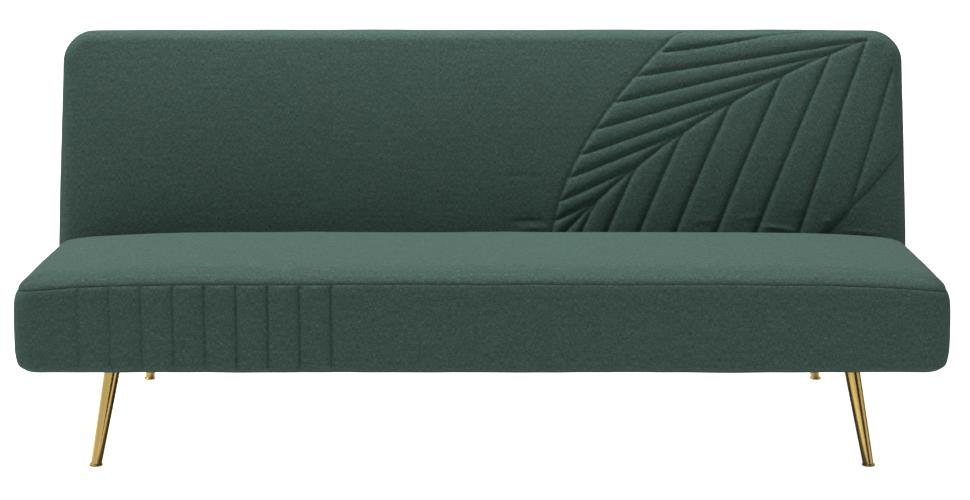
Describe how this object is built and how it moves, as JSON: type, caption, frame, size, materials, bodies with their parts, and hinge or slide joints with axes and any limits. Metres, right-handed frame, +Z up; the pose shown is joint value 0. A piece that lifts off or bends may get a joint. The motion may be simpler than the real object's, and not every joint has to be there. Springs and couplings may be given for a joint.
{
  "type": "futon sofa bed",
  "caption": "Armless click-clack sofa bed: upholstered seat, folding quilted backrest on ratchet hinges and a steel underframe on splayed brass legs.",
  "frame": {"origin": "on the floor under the middle of the object's bounding box, as a sofa", "axes": "+Z up, +X to the right of someone facing the sofa, +Y from the front of the seat towards the back"},
  "size_m": [1.8, 0.889, 0.8207],
  "materials": {
    "green_fabric": "matte melange weave",
    "foam": "open-cell polyurethane foam",
    "pine": "sawn softwood, unfinished",
    "webbing": "woven elastic webbing",
    "dust_sheet": "thin non-woven sheet",
    "black_steel": "satin black powder coat",
    "zinc_steel": "zinc plated",
    "brass_plate": "polished brass plating on steel",
    "black_plastic": "moulded",
    "rubber": "moulded"
  },
  "bodies": {
    "base": {"base_front_rail": "black_steel", "base_rear_rail": "black_steel", "base_side_rail_left": "black_steel", "base_side_rail_right": "black_steel", "bumper_left": "rubber", "bumper_right": "rubber", "leg_foot_front_left": "brass_plate", "leg_foot_front_right": "brass_plate", "leg_foot_rear_left": "brass_plate", "leg_foot_rear_right": "brass_plate", "leg_plate_front_left": "brass_plate", "leg_plate_front_right": "brass_plate", "leg_plate_rear_left": "brass_plate", "leg_plate_rear_right": "brass_plate", "leg_tube_front_left": "brass_plate", "leg_tube_front_right": "brass_plate", "leg_tube_rear_left": "brass_plate", "leg_tube_rear_right": "brass_plate", "pivot_bolt_left": "zinc_steel", "pivot_bolt_right": "zinc_steel", "pivot_bracket_left": "zinc_steel", "pivot_bracket_right": "zinc_steel", "pivot_nut_left": "zinc_steel", "pivot_nut_right": "zinc_steel", "rail_plug_front_left": "black_plastic", "rail_plug_front_right": "black_plastic", "rail_plug_rear_left": "black_plastic", "rail_plug_rear_right": "black_plastic", "seat_bolt_front_left": "zinc_steel", "seat_bolt_front_right": "zinc_steel", "seat_bolt_rear_left": "zinc_steel", "seat_bolt_rear_right": "zinc_steel", "seat_cover": "green_fabric", "seat_dust_cover": "dust_sheet", "seat_foam": "foam", "seat_rail_front": "pine", "seat_rail_left": "pine", "seat_rail_rear": "pine", "seat_rail_right": "pine", "seat_slat_left": "pine", "seat_slat_right": "pine", "seat_webbing": "webbing"},
    "backrest": {"back_cover": "green_fabric", "back_foam": "foam", "back_panel": "green_fabric", "back_rail_left": "pine", "back_rail_lower": "pine", "back_rail_right": "pine", "back_rail_upper": "pine", "back_slat_left": "pine", "back_slat_right": "pine", "back_webbing": "webbing", "hinge_arm_left": "zinc_steel", "hinge_arm_right": "zinc_steel", "pawl_pin_left": "zinc_steel", "pawl_pin_right": "zinc_steel", "pawl_spring_left": "zinc_steel", "pawl_spring_right": "zinc_steel"},
    "pawl_left": {"pawl_left": "zinc_steel"},
    "pawl_right": {"pawl_right": "zinc_steel"}
  },
  "joints": [
    {"name": "backrest_hinge", "type": "hinge", "parent": "base", "child": "backrest", "pos_m": [0, 0.1105, 0.3505], "axis": [-1, 0, 0], "range_deg": [-6, 75]},
    {"name": "pawl_left", "type": "hinge", "parent": "backrest", "child": "pawl_left", "pos_m": [-0.836, 0.14352, 0.38099], "axis": [1, 0, 0], "range_deg": [0, 9]},
    {"name": "pawl_right", "type": "hinge", "parent": "backrest", "child": "pawl_right", "pos_m": [0.836, 0.14352, 0.38099], "axis": [1, 0, 0], "range_deg": [0, 9]}
  ]
}
